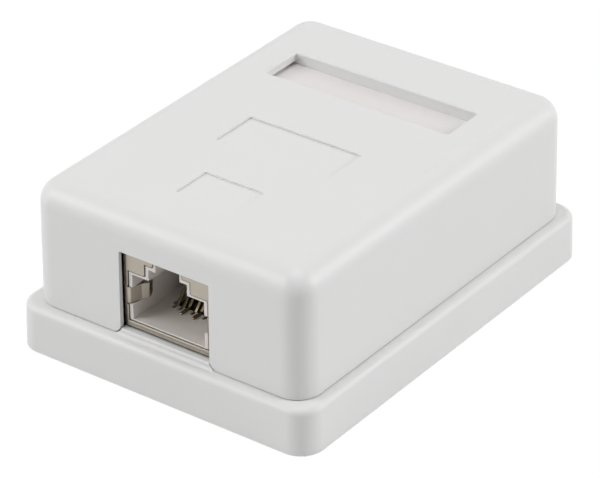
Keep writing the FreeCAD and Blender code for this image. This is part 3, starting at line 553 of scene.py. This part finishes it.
# ---- Operators ------------------------------------------------------------------------------------
class JACKBOX_OT_case(bpy.types.Operator):
    """Give the base and the cover their moulded edges and white finish"""

    bl_idname = "jackbox.case"
    bl_label = "Case"
    bl_options = {"REGISTER", "UNDO"}

    wall_lean = 0.3 * MM            # how far the front wall leans in over the jack window's height
    top_depth = 0.5 * MM            # the top's recesses and brims lie within this depth
    # Box that holds the floors of the two recesses and no other corner of the cover.
    recess_half_width = 12 * MM
    recess_front = -24 * MM
    recess_back = 3 * MM
    recess_shallow = 0.1 * MM
    recess_deep = 0.4 * MM

    def execute(self, context):
        case = context.scene.jack_box.case
        plastic = case_plastic(case)
        low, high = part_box("cover")

        def share(at):
            if at.z > high.z - ON_FACE:
                return case.top_share
            if at.z > high.z - self.top_depth:
                return 0.0
            return case.window_share if at.y < low.y + self.wall_lean else case.inner_share

        def sink(vertex):
            at = vertex.co
            in_plan = abs(at.x) < self.recess_half_width and self.recess_front < at.y < self.recess_back
            if in_plan and self.recess_shallow < high.z - at.z < self.recess_deep:
                at.z -= case.recess_sink

        dress("base", "base_moulding", plastic, case.base_edge, steps=3)
        dress(
            "cover", "cover_moulding", plastic, case.cover_edge, body=COVER_BODY, steps=3,
            share=share, reshape=sink,
        )
        return {"FINISHED"}


class JACKBOX_OT_label_card(bpy.types.Operator):
    """Lay the label card in its window"""

    bl_idname = "jackbox.label_card"
    bl_label = "Label Card"
    bl_options = {"REGISTER", "UNDO"}

    def execute(self, context):
        case = context.scene.jack_box.case
        paper = label_paper(case)
        dress("label_card", "label_card_cut", paper, case.card_edge, body=COVER_BODY, steps=1)
        return {"FINISHED"}


class JACKBOX_OT_jack(bpy.types.Operator):
    """Dress the jack: plated shield, plastic insert and contact carrier"""

    bl_idname = "jackbox.jack"
    bl_label = "Jack"
    bl_options = {"REGISTER", "UNDO"}

    seam_height = 0.55 * MM         # heights over the circuit board
    sill_height = 0.95 * MM

    def execute(self, context):
        jack = context.scene.jack_box.jack
        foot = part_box("circuit_board")[1].z
        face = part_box("jack_shield")[0].y

        def share(at):
            if abs(at.z - foot - self.seam_height) < 2 * ON_FACE:
                return jack.seam_share
            if abs(at.z - foot - self.sill_height) < ON_FACE:
                return jack.sill_share
            on_foot = at.z < foot + ON_FACE and at.y < face + 2 * ON_FACE
            return jack.foot_share if on_foot else 1.0

        nickel = nickel_plate(jack, foot)
        dress("jack_shield", "jack_shield_pressed", nickel, jack.sheet_edge, share=share)
        insert = moulded_plastic("insert_plastic", jack.plastic_color, roughness=0.4)
        dress("jack_housing", "jack_insert", insert, jack.plastic_edge, steps=3)
        black = moulded_plastic("carrier_plastic", jack.carrier_color, roughness=0.5)
        dress("contact_carrier", "contact_comb", black, jack.carrier_edge)
        return {"FINISHED"}


class JACKBOX_OT_contacts(bpy.types.Operator):
    """Give the eight spring contacts their drawn section and gold plate"""

    bl_idname = "jackbox.contacts"
    bl_label = "Spring Contacts"
    bl_options = {"REGISTER", "UNDO"}

    def execute(self, context):
        jack = context.scene.jack_box.jack
        gold = gold_plate(jack)
        for node in sorted(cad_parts):
            if node.startswith("contact_") and node[-1].isdigit():
                self.dress_spring(node, gold, jack)
        return {"FINISHED"}

    def dress_spring(self, node, gold, jack):
        low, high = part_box(node)
        middle = (low.x + high.x) / 2

        def widen(vertex):
            vertex.co.x = middle + (vertex.co.x - middle) * (1 + jack.contact_swell)

        def share(at):
            return jack.tip_share if at.y < low.y + ON_FACE else jack.wire_share

        dress(
            node, node + "_spring", gold, jack.contact_edge, steps=3,
            share=share, reshape=widen,
        )


class JACKBOX_OT_board(bpy.types.Operator):
    """Dress the circuit board with resist"""

    bl_idname = "jackbox.board"
    bl_label = "Circuit Board"
    bl_options = {"REGISTER", "UNDO"}

    def execute(self, context):
        board = context.scene.jack_box.board
        dress("circuit_board", "board_routed", solder_resist(board), board.edge, steps=1)
        return {"FINISHED"}


class JACKBOX_OT_wire_blocks(bpy.types.Operator):
    """Dress the two wire blocks and their contact plates"""

    bl_idname = "jackbox.wire_blocks"
    bl_label = "Wire Blocks"
    bl_options = {"REGISTER", "UNDO"}

    def execute(self, context):
        board = context.scene.jack_box.board
        block = moulded_plastic("block_plastic", board.block_color, roughness=0.45)
        tin = rolled_metal("tinned_bronze", board.tin_color, roughness=0.3)
        for side in ("left", "right"):
            dress("idc_block_" + side, "wire_block_" + side, block, board.block_edge)
        for node in sorted(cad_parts):
            if node.startswith("idc_contact_"):
                dress(node, node + "_plate", tin, board.plate_edge)
        return {"FINISHED"}


class JACKBOX_OT_can(bpy.types.Operator):
    """Dress the folded shield can and the cable clamp"""

    bl_idname = "jackbox.can"
    bl_label = "Shield Can"
    bl_options = {"REGISTER", "UNDO"}

    def execute(self, context):
        can = context.scene.jack_box.can
        tin = rolled_metal("tinned_sheet", can.tin_color, roughness=0.3, grain=0.12 * MM)
        for node, name in (
            ("shield_tray", "can_tray"),
            ("shield_lid", "can_lid"),
            ("cable_clamp", "clamp_strap"),
        ):
            dress(node, name, tin, can.sheet_edge)
        return {"FINISHED"}


class JACKBOX_OT_screws(bpy.types.Operator):
    """Make the screws of the board and of the clamp, with their thread and cross recess"""

    bl_idname = "jackbox.screws"
    bl_label = "Screws"
    bl_options = {"REGISTER", "UNDO"}

    def execute(self, context):
        screws = context.scene.jack_box.screws
        zinc = rolled_metal("zinc_plate", screws.zinc_color, roughness=0.32, stretch=(1.0, 1.0, 1.0))
        for node in ("board_screws", "clamp_screws"):
            solid = welded(node)
            bm = bmesh.new()
            for screw in islands(solid):
                self.add_from_solid(bm, [vertex.co for vertex in screw], screws)
            solid.free()
            bmesh.ops.recalc_face_normals(bm, faces=bm.faces)
            mesh = bpy.data.meshes.new(node + "_threaded")
            bm.to_mesh(mesh)
            bm.free()
            mesh.shade_smooth()
            mesh.set_sharp_from_angle(angle=math.radians(38))
            add_piece(node, node + "_threaded", mesh, zinc, BOX_BODY)
        return {"FINISHED"}

    def add_from_solid(self, bm, points, screws):
        """A screw whose heights and radii are those of the plain solid with these points."""
        low = Vector([min(point[axis] for point in points) for axis in range(3)])
        high = Vector([max(point[axis] for point in points) for axis in range(3)])
        middle = (low + high) / 2
        radii = {}
        for point in points:
            z = round(point.z, 5)
            radii[z] = max(radii.get(z, 0.0), (point.xy - middle.xy).length)
        levels = sorted(radii.items())
        if len(levels) < 4:
            raise ValueError("a screw has only the levels %s" % levels)
        add_screw(bm, middle, levels[:3] + levels[-1:], screws)


class JACKBOX_OT_stage(bpy.types.Operator):
    """Set the camera, the soft light and the pale floor"""

    bl_idname = "jackbox.stage"
    bl_label = "Stage"
    bl_options = {"REGISTER", "UNDO"}

    def execute(self, context):
        stage = context.scene.jack_box.stage
        self.add_camera(stage)
        self.add_floor(stage)
        self.add_world(stage)
        self.add_lamp(stage, "top_lamp", stage.top_power, azimuth=0, elevation=88, distance=1.2, size=1.0)
        self.add_lamp(stage, "left_lamp", stage.left_power, azimuth=-46, elevation=31)
        self.add_lamp(stage, "right_lamp", stage.right_power, azimuth=123, elevation=26)
        context.scene.view_settings.view_transform = "Standard"
        return {"FINISHED"}

    def add_looking(self, stage, name, data, azimuth, elevation, roll, distance):
        """A camera or lamp that looks at the aim, from a direction given by its angles."""
        around = Euler((math.pi / 2 - elevation, 0.0, azimuth)).to_matrix()
        place = Vector(stage.aim) + around.col[2] * distance
        made = bpy.data.objects.new(name, data)
        made.matrix_world = Matrix.Translation(place) @ (around @ Matrix.Rotation(roll, 3, "Z")).to_4x4()
        bpy.context.scene.collection.objects.link(made)
        return made

    def add_camera(self, stage):
        data = bpy.data.cameras.new("camera")
        data.lens = stage.lens
        data.sensor_width = 36.0
        angles = (stage.azimuth, stage.elevation, stage.roll)
        bpy.context.scene.camera = self.add_looking(stage, "camera", data, *angles, stage.distance)

    def add_lamp(self, stage, name, power, azimuth, elevation, distance=0.9, size=0.5):
        """Soft round light. Its angles are in degrees."""
        data = bpy.data.lights.new(name, "AREA")
        data.shape = "DISK"
        data.size = size
        data.energy = power
        self.add_looking(stage, name, data, math.radians(azimuth), math.radians(elevation), 0.0, distance)

    def add_floor(self, stage):
        """Pale floor that takes the box's shadow. It is white to the camera, except under the box."""
        half = stage.floor_size / 2
        mesh = bpy.data.meshes.new("floor")
        corners = [(-half, -half, 0.0), (half, -half, 0.0), (half, half, 0.0), (-half, half, 0.0)]
        mesh.from_pydata(corners, [], [(0, 1, 2, 3)])
        floor = bpy.data.objects.new("floor", mesh)
        bpy.context.scene.collection.objects.link(floor)
        paint = Finish("floor_paint", (0.82, 0.82, 0.82), {"Roughness": 0.9})
        mesh.materials.append(paint.material)
        reach = cad_bounds[1]
        beside_box = (abs(paint.along(0)) > reach[0] - MM) | (abs(paint.along(1)) > reach[1] - MM)
        glow = paint.node("ShaderNodeEmission", {}, {"Color": WHITE, "Strength": stage.floor_glow})
        share = paint.seen() * (1.0 - stage.shadow_share) * beside_box
        paper = Wire(paint, paint.shader.outputs[0])
        mixed = paint.node("ShaderNodeMixShader", {}, {0: share, 1: paper, 2: glow})
        paint.feed(paint.tree.nodes["Material Output"].inputs["Surface"], mixed)

    def add_world(self, stage):
        """Even light from all round, behind which the camera sees white."""
        world = bpy.data.worlds.new("studio")
        world.use_nodes = True
        bpy.context.scene.world = world
        sky = Nodes(world.node_tree)
        span = {"Value": sky.seen(), "To Min": stage.world_strength, "To Max": 1.0}
        background = sky.tree.nodes["Background"]
        sky.feed(background.inputs["Color"], WHITE)
        sky.feed(background.inputs["Strength"], sky.node("ShaderNodeMapRange", {}, span))


OPERATORS = (
    JACKBOX_OT_case,
    JACKBOX_OT_label_card,
    JACKBOX_OT_jack,
    JACKBOX_OT_contacts,
    JACKBOX_OT_board,
    JACKBOX_OT_wire_blocks,
    JACKBOX_OT_can,
    JACKBOX_OT_screws,
    JACKBOX_OT_stage,
)


# ---- Panel and registration -----------------------------------------------------------------------
class JACKBOX_PT_sidebar(bpy.types.Panel):
    """Settings and steps of the jack box"""

    bl_label = "Jack Box"
    bl_idname = "JACKBOX_PT_sidebar"
    bl_space_type = "VIEW_3D"
    bl_region_type = "UI"
    bl_category = "Jack Box"

    def draw(self, context):
        settings = context.scene.jack_box
        for name in ("case", "jack", "board", "can", "screws", "stage"):
            group = getattr(settings, name)
            box = self.layout.box()
            box.label(text=name.title())
            for setting in group.bl_rna.properties:
                if setting.identifier not in ("rna_type", "name"):
                    box.prop(group, setting.identifier)
        for operator in OPERATORS:
            self.layout.operator(operator.bl_idname)


CLASSES = (
    CaseSettings,
    JackSettings,
    BoardSettings,
    CanSettings,
    ScrewSettings,
    StageSettings,
    JackBoxSettings,
    *OPERATORS,
    JACKBOX_PT_sidebar,
)


def register():
    for cls in CLASSES:
        bpy.utils.register_class(cls)
    bpy.types.Scene.jack_box = settings_group(JackBoxSettings, "Jack box", "Settings of the jack box")


def unregister():
    del bpy.types.Scene.jack_box
    for cls in reversed(CLASSES):
        bpy.utils.unregister_class(cls)


def main():
    register()
    for operator in OPERATORS:
        step = operator.bl_idname.split(".")[1]
        getattr(bpy.ops.jackbox, step)()


if __name__ == "__main__":
    main()
